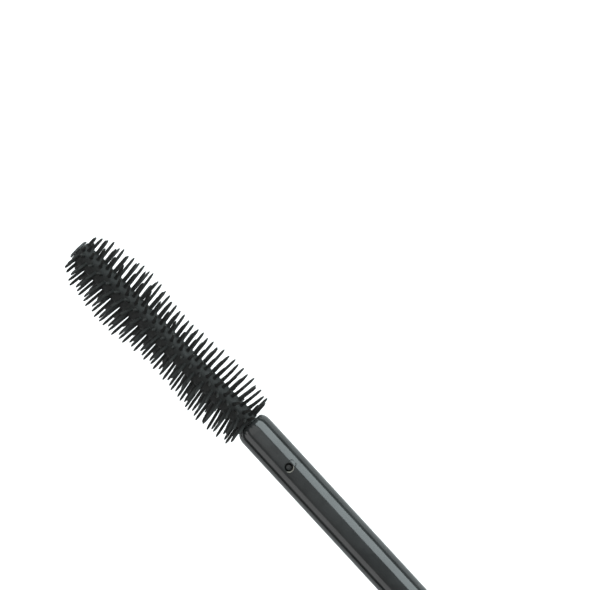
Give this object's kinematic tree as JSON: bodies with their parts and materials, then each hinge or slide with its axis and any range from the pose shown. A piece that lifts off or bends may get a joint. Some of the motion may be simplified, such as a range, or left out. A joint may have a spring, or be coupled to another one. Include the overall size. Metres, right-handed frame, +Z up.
{
  "type": "mascara tube with wand",
  "caption": "Soft-square mascara tube with its screw cap, stem and moulded hourglass brush drawn out in line, lying on its flat sides.",
  "frame": {"origin": "centre of the footprint, on the surface that the drawn mascara lies on", "axes": "+Z up; +X along both halves from the tube's foot to the cap's end; +Y across"},
  "size_m": [0.2178, 0.017, 0.017],
  "materials": {
    "natural_plastic": "natural polypropylene, satin",
    "mascara": "wet black paste",
    "wiper_rubber": "soft matte",
    "gloss_black": "polished",
    "satin_metal": "satin",
    "label": "uncoated film",
    "liner_black": "satin",
    "steel": "plain turned",
    "foam": "closed-cell foam",
    "stem_black": "polished moulding",
    "spine_black": "satin moulding",
    "bristle_black": "soft elastomer"
  },
  "bodies": {
    "bottle": {"vial": "natural_plastic", "vial_plug": "natural_plastic", "formula": "mascara", "wiper": "wiper_rubber", "sleeve": "gloss_black", "neck_collar": "satin_metal", "base_cap": "gloss_black", "shade_label": "label"},
    "gasket": {"gasket": "foam"},
    "weight": {"cap_weight": "steel"},
    "wand": {"cap_shell": "gloss_black", "cap_trim_ring": "satin_metal", "cap_top_plate": "satin_metal", "cap_inner": "liner_black", "weight_pad": "foam", "stem": "stem_black", "brush_spine": "spine_black", "bristle_sleeve": "bristle_black"}
  },
  "joints": [
    {"name": "wand_slide", "type": "slide", "parent": "bottle", "child": "gasket", "axis": [-1, 0, 0], "range_m": [0, 0.0893], "deforming": ["bristle_sleeve"]},
    {"name": "cap_lead", "type": "slide", "parent": "gasket", "child": "weight", "axis": [-1, 0, 0], "range_m": [0, 0.0045]},
    {"name": "cap_turn", "type": "hinge", "parent": "weight", "child": "wand", "pos_m": [0, 0, 0.0085], "axis": [-1, 0, 0], "range_deg": [0, 540]}
  ],
  "couplings": [
    {"joint": "cap_lead", "follows": "cap_turn", "m_per_rad": 0.00047746}
  ]
}
